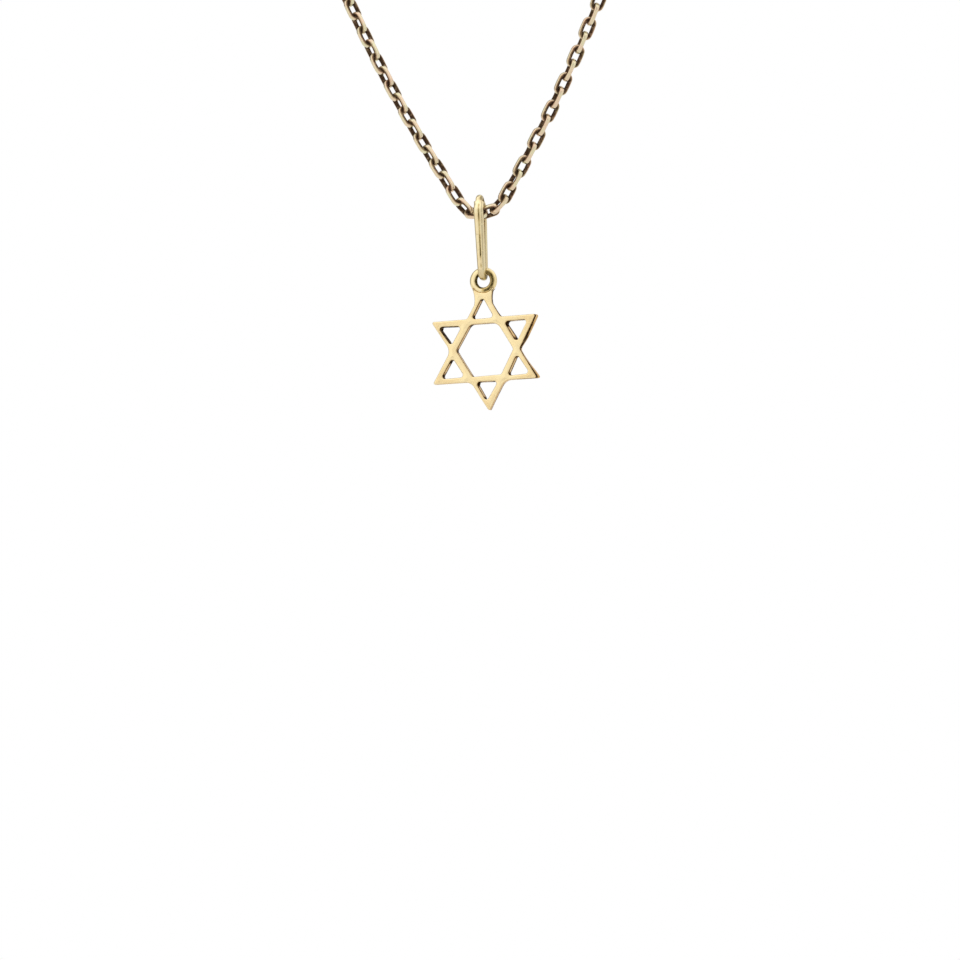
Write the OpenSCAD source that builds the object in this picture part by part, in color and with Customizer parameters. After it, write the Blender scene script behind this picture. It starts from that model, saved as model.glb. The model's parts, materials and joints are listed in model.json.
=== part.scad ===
// Star of David pendant on a fine cable chain, as it hangs when worn.
// Millimetres, Z up. The origin is at the back of the neck, in the middle of the clasp.
// The wearer faces -Y, so the star's front faces -Y and its hole axes run along Y.

/* [Star] */
// Distance from the star's centre to a tip before the tip is rounded
star_r = 7.75; // [6.5:0.05:14]
// Width of the star's bars
bar_w = 0.73; // [0.5:0.01:1.1]
// Thickness of the star from front to back
star_t = 1.1; // [0.8:0.05:2]
// Radius that rounds the tips
tip_round = 0.19; // [0.05:0.01:0.3]
// Radius in the notches between the lower tips
notch_round = 1.3; // [0.3:0.05:1.8]
// Radius in the corners of the openings
hole_round = 0.2; // [0.05:0.01:0.3]

/* [Neck and ring] */
// Width of the neck at its waist
neck_w = 2.26; // [1.8:0.02:3]
// How far the waist lies below the sharp point of the top tip
waist_drop = 1.35; // [0.9:0.05:1.8]
// Radius of the neck's hollow sides
neck_flare = 3.4; // [2.4:0.05:5]
// How far the ring's centre stands above the sharp point of the top tip
ring_rise = 0.91; // [0.7:0.01:1.6]
// Width of the hole in the ring
ring_hole = 1.74; // [1.6:0.02:2.6]
// Diameter of the ring's round wire
ring_wire = 0.82; // [0.5:0.02:0.9]
// Depth to which the ring is soldered into its seat on the neck
ring_seat = 0.14; // [0.05:0.01:0.2]

/* [Bail] */
// Length of the bail from its crown to its foot
bail_l = 10.6; // [8.5:0.1:16]
// How far the crown stands above the middle of the chain
crown_rise = 2.05; // [1.8:0.05:3]
// Thickness of the strip
bail_t = 0.5; // [0.35:0.01:0.7]
// Thickness of the strip at the foot
foot_t = 0.62; // [0.4:0.01:0.8]
// Inside width of the crown from front to back
crown_in = 1.1; // [0.8:0.05:1.6]
// Width of the front strip below the crown
front_w = 1.28; // [0.9:0.02:1.5]
// Width of the front strip above the foot
front_foot_w = 0.94; // [0.7:0.02:1.2]
// Width of the crown
crown_w = 0.8; // [0.5:0.02:1]
// Width of the strip at the back
back_w = 0.6; // [0.44:0.02:0.8]
// Width of the strip at the foot, inside the star's ring
foot_w = 0.66; // [0.4:0.02:0.8]
// How far the wide front strip ends below the crown
shoulder_drop = 0.62; // [0.5:0.01:1]
// Height over which the front strip narrows at either end
taper_h = 0.3; // [0.1:0.05:0.5]
// How far the bail hangs off the middle of the chain, towards -X
hang_off = 0.25; // [0:0.05:0.3]

/* [Chain] */
// Length of the whole loop, clasp included, rounded to a whole number of links
chain_len = 400; // [390:1:420]
// Length of a link outside
link_l = 2.88; // [2.6:0.02:3.2]
// Width of a link outside
link_w = 1.7; // [1.5:0.01:1.8]
// Thickness of the wire in the plane of the link
wire_w = 0.33; // [0.25:0.01:0.36]
// Thickness of the wire across the plane of the link
wire_t = 0.44; // [0.36:0.01:0.46]
// Slack between a link and the next one
link_slack = 0.28; // [0.26:0.01:0.34]
// Radius of the sharp bend inside the bail
bail_bend = 3.4; // [3.4:0.1:5]
// Further slack on each side of the link in the bail, which the sharp bend takes up
bend_slack = 0.1; // [0.1:0.01:0.15]
// Number of links over which the right arm's links turn from slanting to flat and upright
turn_links = 45; // [8:1:60]

/* [Clasp] */
// Width of the hole in the clasp's ring
clasp_hole = 3.2; // [2.6:0.1:6]
// Diameter of the tube of the clasp's ring
clasp_wire = 0.7; // [0.5:0.05:0.9]
// Width of the hole in the clasp's eye
eye_hole = 1; // [0.9:0.05:1.6]
// Diameter of the wire of the clasp's eye
eye_wire = 0.5; // [0.4:0.05:0.7]

/* [Fit] */
// Clearance round the chain and round the star's ring, inside the bail
fit = 0.15; // [0.1:0.01:0.2]

/* [Neckline] */
// Radius of each arm's bend where it leaves the bail
low_bend = 150; // [60:5:300]
// Radius of each arm's gentle bend further up
high_bend = 175; // [120:5:400]
// Lean of the chest stretch, back from upright, in degrees
chest_lean = 1; // [0:0.5:10]
// Length of the chest stretch, up from the bail
chest_h = 30; // [10:1:60]
// Radius over which the chain bends back to the neck
shoulder_r = 150; // [110:5:300]

/* [Hidden] */
$fn = 48;

// Course of one arm from the bail up, in the flat: bend radius, lean from upright where the stretch ends
ARM = [[bail_bend, 33], [low_bend, 30], [high_bend, 24]];
// Each tip of the star: its direction, then how far hand sawing moved it sideways and up, in shares of star_r
TIPS = [
    [90, 0, 0], [150, -0.017, -0.001], [210, -0.04, -0.008],
    [270, 0.038, 0.012], [330, -0.03, 0.004], [30, -0.012, 0.033]
];
// Overlap of pieces that are fused into one solid, and overshoot of cuts
lap = 0.1;
// Angle by which the bail's straight sides run into its arcs, in degrees
side_lap = 2;
// Number of short straights that a rounded corner is made of
arc_steps = 6;
gold = [0.94, 0.84, 0.55];
old_gold = [0.78, 0.66, 0.38];

// Heights in the pendant, with the chain's middle in the bail at zero
foot_z = crown_rise - bail_l;
foot_r = ring_wire / 2 + fit;
swing_r = norm([link_w, wire_t]) / 2 + fit;
ring_out = ring_hole / 2 + ring_wire;
eye_z = star_r + ring_rise;
seat_z = sqrt(pow(ring_hole / 2 - fit, 2) - pow(foot_w / 2, 2));
star_z = foot_z + foot_t - seat_z - eye_z;

// Chain: pitch of the links, number of links on each side of the one in the bail, and half the loop
link_in = link_l - 2 * wire_w;
pitch = link_in - link_slack;
clasp_ring_r = clasp_hole / 2 + clasp_wire;
clasp_eye_r = eye_hole / 2 + eye_wire;
clasp_gap = clasp_ring_r + clasp_eye_r - lap * 3;
clasp_run = clasp_hole / 2 + clasp_gap + eye_hole / 2 - link_slack;
side_links = floor((chain_len - clasp_run - pitch) / pitch / 2);
half_loop = ((2 * side_links + 1) * pitch + clasp_run) / 2 - 3 * bend_slack;

function turn(v, a) = [v.x * cos(a) - v.y * sin(a), v.x * sin(a) + v.y * cos(a)];
function unit(v) = v / norm(v);
function dir(a) = [cos(a), sin(a)];
// Point where the line through a and b meets the line through c and d
function meet(a, b, c, d) = let (u = b - a, v = d - c, w = c - a)
    a + u * (w.x * v.y - w.y * v.x) / (u.x * v.y - u.y * v.x);

// Corners of the star's two triangles: the odd ones point up, the even ones down
function tip(i) = let (row = TIPS[i % 6]) star_r * (dir(row[0]) + [row[1], row[2]]);
function triangle(first) = [for (i = [0:2]) tip(first + 2 * i)];
// The same triangle with each side moved inwards by d
function inset(p, d) = let (n = len(p), shift = [for (i = [0:n - 1]) d * turn(unit(p[(i + 1) % n] - p[i]), 90)])
    [for (i = [0:n - 1]) let (j = (i + n - 1) % n)
        meet(p[i] + shift[i], p[(i + 1) % n] + shift[i], p[j] + shift[j], p[i] + shift[j])];

up_out = triangle(0);
down_out = triangle(1);
up_in = inset(up_out, bar_w);
down_in = inset(down_out, bar_w);

// Where the sides of triangle p cross the side of q that cuts off corner i, before and after that corner
function before(p, q, i) = meet(p[(i + 2) % 3], p[i], q[(i + 2) % 3], q[i]);
function after(p, q, i) = meet(p[i], p[(i + 1) % 3], q[(i + 2) % 3], q[i]);
function shifted(p) = [p[1], p[2], p[0]];

// Stretches of one arm in the flat, from the bail up: arc length, point, lean and bend radius at the start
function walk(i, s, p, a) = i == len(ARM) ? [[s, p, a, 0]] : let (r = ARM[i][0], b = ARM[i][1])
    concat([[s, p, a, r]], walk(i + 1, s + r * (a - b) * PI / 180, p + r * [cos(b) - cos(a), sin(a) - sin(b)], b));

arm = walk(0, 0, [0, 0], 90);
arm_end = arm[len(ARM)];
top_lean = arm_end[2];
neck_turn = (90 + top_lean) * PI / 180;
straight_l = (half_loop - arm_end[0] - neck_turn * arm_end[1].x / cos(top_lean)) / (1 + neck_turn * tan(top_lean));
straight_end = arm_end[1] + straight_l * [sin(top_lean), cos(top_lean)];
neck_r = straight_end.x / cos(top_lean);
stretches = concat(arm, [[arm_end[0] + straight_l, straight_end, top_lean, neck_r]]);

// Point of the flat course at arc length s from the lowest point
function flat(s) = let (
    row = stretches[max([for (i = [0:len(stretches) - 1]) if (stretches[i][0] <= s) i])],
    t = s - row[0], a = row[2], r = row[3], b = r == 0 ? a : a - t / r * 180 / PI)
    row[1] + (r == 0 ? t * [sin(a), cos(a)] : r * [cos(b) - cos(a), sin(a) - sin(b)]);

// Lean of the chain's surface at height h of the flat course, and the flat point p bent into space
function lean(h) = chest_lean + max(0, h - chest_h) / shoulder_r * 180 / PI;
function drape(p) = let (h = min(p.y, chest_h), b = lean(p.y))
    [p.x, h * sin(chest_lean) + shoulder_r * (cos(chest_lean) - cos(b)),
        h * cos(chest_lean) + shoulder_r * (sin(b) - sin(chest_lean))];

// Joint below link k, counted from the link in the bail
function flat_joint(k) = let (n = abs(k - 0.5), p = flat(n * pitch - min(2 * n, 3) * bend_slack))
    [sign(k - 0.5) * p.x, p.y];
nape_flat = [0, flat_joint(side_links + 1).y];
nape = drape(nape_flat);
hang = drape([-hang_off, flat_joint(1).y]) - nape;

// Lay of link k about its length: 45 degrees in the bail, flat and upright by turns further on
end_lay = side_links % 2 == 0 ? 90 : 0;
function lay(k) = 90 * k + end_lay + (45 - end_lay) * max(0, 1 - abs(k) / (k < 0 ? side_links : turn_links));

// Points of the arc of radius r that rounds corner p between its neighbours a and b
function arc(a, p, b, r) = let (
    u = unit(a - p), v = unit(b - p), half = acos(u * v) / 2, centre = p + unit(u + v) * r / sin(half),
    from = p + u * r / tan(half) - centre, side = sign(u.x * v.y - u.y * v.x))
    [for (i = [0:arc_steps]) centre + turn(from, side * (2 * half - 180) * i / arc_steps)];

// Polygon p with its corners rounded
module rounded(p, r) {
    n = len(p);
    polygon([for (i = [0:n - 1]) each arc(p[(i + n - 1) % n], p[i], p[(i + 1) % n], r)]);
}

// Fillet that fills the hollow corner p up to its rounding, with a foot in the metal behind it
module fillet(a, p, b, r) {
    polygon(concat([p - lap * unit(unit(a - p) + unit(b - p))], arc(a, p, b, r)));
}

// Small triangular opening behind corner i of a triangle, cut off by the other one
module tip_opening(inner, other, i) {
    rounded([before(inner, other, i), inner[i], after(inner, other, i)], hole_round);
}

// Hexagon in the middle, inside both triangles
module middle_opening() {
    rounded([for (i = [0:2]) each [before(up_in, down_in, i), after(up_in, down_in, i)]], hole_round);
}

// Fillets in the six notches between the tips
module notches() {
    for (i = [0:2]) {
        fillet(up_out[i], before(up_out, down_out, i), down_out[(i + 2) % 3], notch_round);
        fillet(up_out[i], after(up_out, down_out, i), down_out[i], notch_round);
    }
}

// Plate that joins the top tip to the ring, with hollow sides
module neck_plate() {
    side = neck_w / 2 + neck_flare;
    base = star_r / 2 - bar_w / 2;
    difference() {
        translate([-side, base]) square([2 * side, eye_z - ring_out / 2 - base]);
        for (s = [-1, 1]) translate([s * side, star_r - waist_drop]) circle(neck_flare);
    }
}

// Outline of the star and its neck, sawn through in seven places, with the ring's seat on top
module star_plate() {
    difference() {
        union() {
            rounded(up_out, tip_round);
            rounded(down_out, tip_round);
            notches();
            neck_plate();
        }
        for (i = [0:2]) {
            tip_opening(up_in, down_out, i);
            tip_opening(down_in, shifted(up_out), i);
        }
        middle_opening();
        translate([0, eye_z]) circle(ring_out - ring_seat);
    }
}

// Ring of round wire about Z, round a hole of the given width
module wire_ring(hole, wire) {
    rotate_extrude() translate([(hole + wire) / 2, 0]) circle(d = wire);
}

// Star with its ring soldered on top, one solid
module star() {
    color(gold) translate(hang + [0, 0, star_z]) rotate([90, 0, 0]) {
        linear_extrude(star_t, center = true) star_plate();
        translate([0, eye_z, 0]) wire_ring(ring_hole, ring_wire);
    }
}

// Circle a over circle b with straight sides from one to the other; each is [radius, height]
module tapered(a, b) {
    side = asin((b[0] - a[0]) / (a[1] - b[1]));
    p = [0, a[1]] + a[0] * dir(side - side_lap);
    q = [0, b[1]] + b[0] * dir(side + side_lap);
    for (c = [a, b]) translate([0, c[1]]) circle(c[0]);
    polygon([p, [-p.x, p.y], [-q.x, q.y], q]);
}

// Side view of the bail's inside, or of its outside when it is grown by the strip's thickness
module bail_side(strip, foot) {
    crown = [crown_in / 2 + strip, crown_rise - bail_t - crown_in / 2];
    belly = [swing_r + strip, 0];
    toe = [foot_r + foot, foot_z + foot_t + foot_r];
    tapered(crown, belly);
    tapered(belly, toe);
}

// Front view of the strip, left half and right half
module bail_front() {
    shoulder_z = crown_rise - shoulder_drop;
    right = [
        [foot_w / 2, foot_z - lap], [foot_w / 2, foot_z], [front_foot_w / 2, foot_z + taper_h],
        [front_w / 2, shoulder_z], [crown_w / 2, shoulder_z + taper_h], [crown_w / 2, crown_rise + lap]
    ];
    polygon(concat(right, [for (i = [len(right) - 1:-1:0]) [-right[i].x, right[i].y]]));
}

// Long bail of flat strip, wide in front, narrow at the back and inside the star's ring
module bail() {
    reach = swing_r + bail_t + lap;
    color(gold) translate(hang) intersection() {
        rotate([90, 0, 90]) linear_extrude(front_w + lap, center = true) difference() {
            bail_side(bail_t, foot_t);
            bail_side(0, 0);
        }
        union() {
            translate([0, -ring_wire / 2, 0]) rotate([90, 0, 0]) linear_extrude(reach) bail_front();
            translate([-back_w / 2, -lap, foot_z + foot_t]) cube([back_w, reach + lap, bail_l]);
            translate([-foot_w / 2, -foot_r, foot_z - lap]) cube([foot_w, 2 * reach, foot_t + 2 * lap]);
            translate([-crown_w / 2, -reach, 0]) cube([crown_w, reach + lap, crown_rise + lap]);
        }
    }
}

// Oblong of length l and width w with round ends, along X
module oblong(l, w) {
    square([l - w, w], center = true);
    for (s = [-1, 1]) translate([s * (l - w) / 2, 0]) circle(d = w);
}

// Flat link, its length along X
module link() {
    linear_extrude(wire_t, center = true) difference() {
        oblong(link_l, link_w);
        oblong(link_in, link_w - 2 * wire_w);
    }
}

// Link k in its place between two joints of the course
module chain_link(k) {
    ends = [for (j = [k, k + 1]) flat_joint(j)];
    a = drape(ends[0]) - nape;
    b = drape(ends[1]) - nape;
    along = unit(b - a);
    slope = lean((ends[0].y + ends[1].y) / 2);
    front = [0, -cos(slope), sin(slope)];
    out = unit(front - (front * along) * along);
    across = cross(out, along);
    y = across * cos(lay(k)) + out * sin(lay(k));
    z = out * cos(lay(k)) - across * sin(lay(k));
    middle = (a + b) / 2;
    multmatrix([for (i = [0:2]) [along[i], y[i], z[i], middle[i]]]) link();
}

// Fine cable chain, a whole loop but for the clasp
module chain() {
    color(old_gold) for (k = [-side_links:side_links]) chain_link(k);
}

// Plain ring clasp with a small eye, holding both ends of the chain
module clasp() {
    reach = clasp_run / 2 + link_slack / 2;
    color(gold) rotate([90 - lean(nape_flat.y), 0, 0]) {
        translate([reach - clasp_hole / 2, 0, 0]) wire_ring(clasp_hole, clasp_wire);
        translate([eye_hole / 2 - reach, 0, 0]) wire_ring(eye_hole, eye_wire);
    }
}

star();
bail();
chain();
clasp();
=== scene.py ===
# %% [markdown]
# # A six-pointed gold star on a fine cable chain
#
# The real thing is a small openwork star, sawn from gold plate. A ring of round wire is soldered
# to its top tip, a long narrow bail holds that ring, and the bail hangs on a cable chain. This
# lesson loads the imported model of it, makes a finished surface for each piece with numpy, and
# lights it like a jewel in a white tent.

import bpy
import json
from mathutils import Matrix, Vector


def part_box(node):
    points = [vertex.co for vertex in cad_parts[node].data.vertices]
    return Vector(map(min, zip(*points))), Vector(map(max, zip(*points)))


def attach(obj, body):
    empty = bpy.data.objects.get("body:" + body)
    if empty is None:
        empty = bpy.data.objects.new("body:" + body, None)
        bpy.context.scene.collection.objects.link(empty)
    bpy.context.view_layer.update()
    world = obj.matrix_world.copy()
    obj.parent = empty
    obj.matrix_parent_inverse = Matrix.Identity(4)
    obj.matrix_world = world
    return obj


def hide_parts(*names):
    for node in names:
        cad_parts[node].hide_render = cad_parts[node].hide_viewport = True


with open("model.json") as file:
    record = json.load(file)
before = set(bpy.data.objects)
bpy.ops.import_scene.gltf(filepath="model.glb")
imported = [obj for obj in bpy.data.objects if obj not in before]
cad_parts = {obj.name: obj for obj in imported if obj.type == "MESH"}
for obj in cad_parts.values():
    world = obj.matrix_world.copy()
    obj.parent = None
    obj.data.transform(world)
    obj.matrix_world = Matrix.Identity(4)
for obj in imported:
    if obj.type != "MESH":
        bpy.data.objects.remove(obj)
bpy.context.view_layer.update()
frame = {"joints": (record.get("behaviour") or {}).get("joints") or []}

# %% Imports and units
import json

import bpy
import numpy as np
from mathutils import Matrix, Vector
from mathutils.geometry import delaunay_2d_cdt

MM = 0.001
TURN = 2 * np.pi

# %% [markdown]
# ## Where things are
#
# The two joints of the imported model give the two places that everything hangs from: the middle
# of the chain's lowest link, where the bail swings, and the middle of the star's ring. All the
# shapes below are worked out in millimetres, and turned into metres when the mesh is made.

# %% Places
pivot = {j["name"]: np.array(j["pos_m"]) / MM for j in frame["joints"]}
hang = pivot["bail_swing"]
ring_centre = pivot["star_swing"]
RING_RISE = 8.66  # the ring's centre above the star's centre
star_centre = ring_centre - [0, 0, RING_RISE]
print("bail hangs at", hang, "mm, star's centre at", star_centre, "mm")

# %% [markdown]
# ## Camera
#
# The star is seen a little from its right side and from just below, and the picture leans by two
# degrees. A long lens far away keeps the perspective as flat as a product photograph's. The
# star's centre sits above and to the right of the picture's centre, so the camera aims below it.

# %% Camera
PICTURE = 960
PIXELS_PER_MM = 8.0525
STAR_IN_PICTURE = np.array([486.5, 350.2])
SENSOR, LENS = 36, 300
CLIP_NEAR, CLIP_FAR = 0.01, 20
azimuth, elevation, roll = np.radians([16.5, -3.6, 2.1])

back = np.array([
    np.sin(azimuth) * np.cos(elevation), -np.cos(azimuth) * np.cos(elevation), np.sin(elevation)])
level = np.array([np.cos(azimuth), np.sin(azimuth), 0])
upward = np.cross(back, level)
right = level * np.cos(roll) - upward * np.sin(roll)
up = upward * np.cos(roll) + level * np.sin(roll)
aside, above = (STAR_IN_PICTURE - PICTURE / 2) / PIXELS_PER_MM
distance = PICTURE / PIXELS_PER_MM * LENS / SENSOR
stand = star_centre - right * aside + up * above + back * distance

camera_data = bpy.data.cameras.new("camera")
camera_data.lens, camera_data.sensor_width = LENS, SENSOR
camera_data.clip_start, camera_data.clip_end = CLIP_NEAR, CLIP_FAR
camera = bpy.data.objects.new("camera", camera_data)
bpy.context.scene.collection.objects.link(camera)
pose = np.eye(4)
pose[:3] = np.column_stack([right, up, back, stand * MM])
camera.matrix_world = Matrix(pose.tolist())
bpy.context.scene.camera = camera
print("camera stands", round(distance), "mm away")

# %% [markdown]
# ## A helper for shader nodes
#
# Materials and the light are node trees. This helper adds one node, sets its options and fills
# its sockets: a socket may get a value or the output of another node, so a tree reads from the
# inside out like a formula.

# %% Node helper
def node(tree, kind, sockets=None, **options):
    """One shader node; sockets maps an input's name or number to a value or to an output."""
    made = tree.nodes.new("ShaderNode" + kind)
    for key, value in options.items():
        setattr(made, key, value)
    for key, value in (sockets or {}).items():
        if isinstance(value, bpy.types.NodeSocket):
            tree.links.new(value, made.inputs[key])
        else:
            made.inputs[key].default_value = value
    return made


def math_node(tree, operation, *values, clamp=False):
    """Output of a Math node on up to three values or outputs."""
    return node(tree, "Math", dict(enumerate(values)), operation=operation, use_clamp=clamp).outputs[0]


def ramp(tree, factor, stops):
    """Output of a colour ramp; each stop is a place from 0 to 1 and a colour or a grey."""
    made = node(tree, "ValToRGB", {0: factor})
    elements = made.color_ramp.elements
    while len(elements) < len(stops):
        elements.new(0.5)
    for element, (place, colour) in zip(elements, stops):
        element.position = place
        element.color = (*colour, 1) if isinstance(colour, tuple) else (colour, colour, colour, 1)
    return made.outputs[0]


# %% [markdown]
# ## Light
#
# Polished metal shows nothing but its surroundings, so the look of the gold is made by the light.
# This jeweller's tent is brightest in front on the left and overhead. It has a darker gap just to
# the right of the lens, and is darker again on the far left, behind and below. The world is that
# tent: its brightness depends on the direction round the object and on the height. The picture
# itself sees the plain white backdrop.

# %% World
world = bpy.data.worlds.new("white_tent")
bpy.context.scene.world = world
world.use_nodes = True
tent = world.node_tree
tent.nodes.clear()

# Brightness by the angle round the object: 0 is in front, 90 towards +X, -90 towards -X
AROUND = [
    (-180, 0.4), (-150, 0.6), (-120, 0.5), (-95, 0.35), (-70, 0.9), (-45, 1.25), (-30, 1.2),
    (-16, 1.1), (2, 1.02), (12, 0.88), (20, 0.7), (28, 0.6), (38, 0.62), (50, 0.85), (65, 1.05),
    (90, 0.95), (115, 0.9), (135, 0.85), (160, 0.9)
]
# Brightness by height: -1 is straight below, 1 straight above
HEIGHTS = [(-1, 0.15), (-0.5, 0.35), (-0.15, 0.85), (0, 1.0), (0.3, 0.98), (0.6, 1.25), (1, 1.35)]
BRIGHTEST = 2.0
CLOTH = (1.0, 0.985, 0.96, 1)

direction = node(tent, "SeparateXYZ", {0: node(tent, "TexCoord").outputs["Generated"]}).outputs
front = math_node(tent, "MULTIPLY", direction["Y"], -1.0)
angle = math_node(tent, "ARCTAN2", direction["X"], front)
around = math_node(tent, "MULTIPLY_ADD", angle, 1 / TURN, 0.5)
height = math_node(tent, "MULTIPLY_ADD", direction["Z"], 0.5, 0.5)
by_angle = ramp(tent, around, [((a + 180) / 360, b / BRIGHTEST) for a, b in AROUND])
by_height = ramp(tent, height, [((h + 1) / 2, b / BRIGHTEST) for h, b in HEIGHTS])
both = math_node(tent, "MULTIPLY", by_angle, by_height)
strength = math_node(tent, "MULTIPLY", both, BRIGHTEST ** 2)
inside = node(tent, "Background", {"Color": CLOTH, "Strength": strength})
backdrop = node(tent, "Background", {"Color": (1, 1, 1, 1), "Strength": 1.0})
seen = node(tent, "LightPath").outputs["Is Camera Ray"]
mixed = node(tent, "MixShader", {0: seen, 1: inside.outputs[0], 2: backdrop.outputs[0]})
node(tent, "OutputWorld", {0: mixed.outputs[0]})
bpy.context.scene.view_settings.view_transform = "Standard"
print("tent with", len(AROUND), "stops round and", len(HEIGHTS), "in height")

# %% [markdown]
# ## Floor
#
# A pale matt floor lies far below the hanging piece. It isn't part of the object, and the
# photograph's low angle keeps it out of the picture.

# %% Floor
FLOOR_Z, FLOOR_HALF = -0.5, 6.0
DARKER, LIGHTER = (0.9, 0.9, 0.89), (0.95, 0.95, 0.94)
floor_corners = np.array([[-1, -1], [1, -1], [1, 1], [-1, 1]]) * FLOOR_HALF
floor_points = np.column_stack([floor_corners, np.full(4, FLOOR_Z)])
floor_mesh = bpy.data.meshes.new("floor")
floor_mesh.from_pydata(floor_points.tolist(), [], [[0, 1, 2, 3]])
floor = bpy.data.objects.new("floor", floor_mesh)
bpy.context.scene.collection.objects.link(floor)
floor_paint = bpy.data.materials.new("pale_floor")
floor_paint.use_nodes = True
floor_tree = floor_paint.node_tree
floor_shader = floor_tree.nodes["Principled BSDF"]
floor_place = node(floor_tree, "TexCoord").outputs["Object"]
cloudy = node(floor_tree, "TexNoise", {"Vector": floor_place, "Scale": 1.5}).outputs["Fac"]
floor_colour = ramp(floor_tree, cloudy, [(0.3, DARKER), (0.7, LIGHTER)])
floor_tree.links.new(floor_colour, floor_shader.inputs["Base Color"])
floor_shader.inputs["Roughness"].default_value = 0.9
floor_mesh.materials.append(floor_paint)
print("floor", -FLOOR_Z, "m below the clasp")

# %% [markdown]
# ## Gold
#
# The pendant is yellow gold of a pale, warm colour, polished but with fine scratches. The sawn walls,
# which the polishing wheel can't reach, stay dull. Each mesh carries a number from 0 to 1 at every
# point for its darkening. On the chain it is the dark patina in the hollows of the links. On the star,
# its ring and the bail it is painted shade and painted reflection: lines and corners on the walls,
# the star's right-hand walls, the ring's inside and crescent, the bail's inner faces, ledge, foot and
# groove. Noise breaks it up, so that no border is clean. It tints the gold, lightly at first and then
# deeply: amber and brown on the star, olive on its ring and the bail, russet on the chain. It also
# takes the metal's shine away. All noise is on the object's own coordinates.

# %% Gold material
# Scale of each noise per metre: clouds of colour, fine specks, unevenness of the patina and painted
# shade, shallow dents
CLOUD_SCALE, SPECK_SCALE, UNEVEN_SCALE, DENT_SCALE = 900.0, 9000.0, 2500.0, 1400.0
UNEVEN, CLEAN_UNEVEN = 0.9, 0.15
SPECK_ROUGH, SHADE_AND_PATINA_ROUGH = 0.14, 0.25
LIGHT_TINT_AT = 0.45


def gold_finish(name, bright, warm, light_tint, deep_tint, rough, grain, dents):
    """Metal from bright to warm, tinted by patina and painted shade; grain and dents are depths in
    metres.
    """
    material = bpy.data.materials.new(name)
    material.use_nodes = True
    tree = material.node_tree
    shader = tree.nodes["Principled BSDF"]
    place = node(tree, "TexCoord").outputs["Object"]

    def noise(scale, detail, distortion=0.0):
        return node(tree, "TexNoise", {
            "Vector": place, "Scale": scale, "Detail": detail, "Distortion": distortion}).outputs["Fac"]

    def scaled(value, factor, offset):
        return math_node(tree, "MULTIPLY_ADD", value, factor, offset)

    clouds = noise(CLOUD_SCALE, 3.0)
    specks = noise(SPECK_SCALE, 2.0)
    # Patina on the chain; painted shade and painted reflection on the star, its ring and the bail
    patina_and_shade_mark = node(tree, "Attribute", attribute_name="patina_and_shade").outputs["Fac"]
    uneven = scaled(noise(UNEVEN_SCALE, 4.0), UNEVEN, -UNEVEN / 2)
    broken = math_node(tree, "MULTIPLY", uneven, scaled(patina_and_shade_mark, UNEVEN, CLEAN_UNEVEN))
    broken_patina_and_shade = math_node(tree, "ADD", patina_and_shade_mark, broken, clamp=True)

    metal = ramp(tree, clouds, [(0.35, bright), (0.65, warm)])
    tint = ramp(tree, broken_patina_and_shade, [(0, 1.0), (LIGHT_TINT_AT, light_tint), (1, deep_tint)])
    # A colour Mix node has its colour sockets at places 6 and 7, behind the ones for numbers
    aged = node(tree, "Mix", {"Factor": 1.0, 6: metal, 7: tint}, data_type="RGBA", blend_type="MULTIPLY")
    tree.links.new(aged.outputs[2], shader.inputs["Base Color"])
    tree.links.new(scaled(broken_patina_and_shade, -1.0, 1.0), shader.inputs["Metallic"])
    tree.links.new(scaled(broken_patina_and_shade, -0.5, 0.5), shader.inputs["Specular IOR Level"])

    roughness = scaled(specks, SPECK_ROUGH, rough - SPECK_ROUGH / 2)
    tree.links.new(scaled(broken_patina_and_shade, SHADE_AND_PATINA_ROUGH, roughness), shader.inputs["Roughness"])

    fine = node(tree, "Bump", {"Height": specks, "Distance": grain, "Strength": 1.0}).outputs[0]
    broad = node(tree, "Bump", {
        "Height": noise(DENT_SCALE, 1.0, 0.4), "Distance": dents, "Strength": 1.0, "Normal": fine})
    tree.links.new(broad.outputs[0], shader.inputs["Normal"])
    return material


# %% Finishes
# Light and deep tints: AMBER and BROWN paint shade on the star, OLIVE and MOSS paint shade and reflection
# on the ring and the bail, RUSSET and PLUM are the chain's patina
AMBER, BROWN = (0.72, 0.52, 0.3), (0.03, 0.018, 0.01)
RUSSET, PLUM = (0.66, 0.52, 0.42), (0.075, 0.05, 0.04)
OLIVE, MOSS = (0.70, 0.62, 0.4), (0.045, 0.038, 0.017)
FINISHES = {
    "star_gold": ((0.89, 0.745, 0.44), (0.87, 0.70, 0.39), AMBER, BROWN, 0.16, 0.5e-6, 1.6e-5),
    "ring_gold": ((0.87, 0.735, 0.44), (0.85, 0.70, 0.39), OLIVE, MOSS, 0.16, 0.5e-6, 1.6e-5),
    "bail_gold": ((0.77, 0.68, 0.43), (0.72, 0.59, 0.35), OLIVE, MOSS, 0.08, 1e-6, 2.5e-5),
    "chain_gold": ((0.75, 0.71, 0.48), (0.80, 0.61, 0.45), RUSSET, PLUM, 0.22, 3e-6, 5e-5),
}
gold = {name: gold_finish(name, *values) for name, values in FINISHES.items()}
print("finishes:", *gold)

# %% [markdown]
# ## From arrays to a piece
#
# Every piece below ends as an array of points and an array of faces. One helper puts them into a
# mesh, turns a shell that is inside out, parents the piece to the empty of the body it moves with,
# hides the imported node that it stands for and gives it one of the gold finishes above.

# %% Piece helper
def shell_volume(points, faces):
    """A sixth of the sum over the triangles of a . (b x c); negative if the shell is inside out."""
    total = 0.0
    for second in range(1, faces.shape[1] - 1):
        a, b, c = points[faces[:, 0]], points[faces[:, second]], points[faces[:, second + 1]]
        total += np.einsum("ij,ij->i", a, np.cross(b, c)).sum() / 6
    return total


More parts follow.
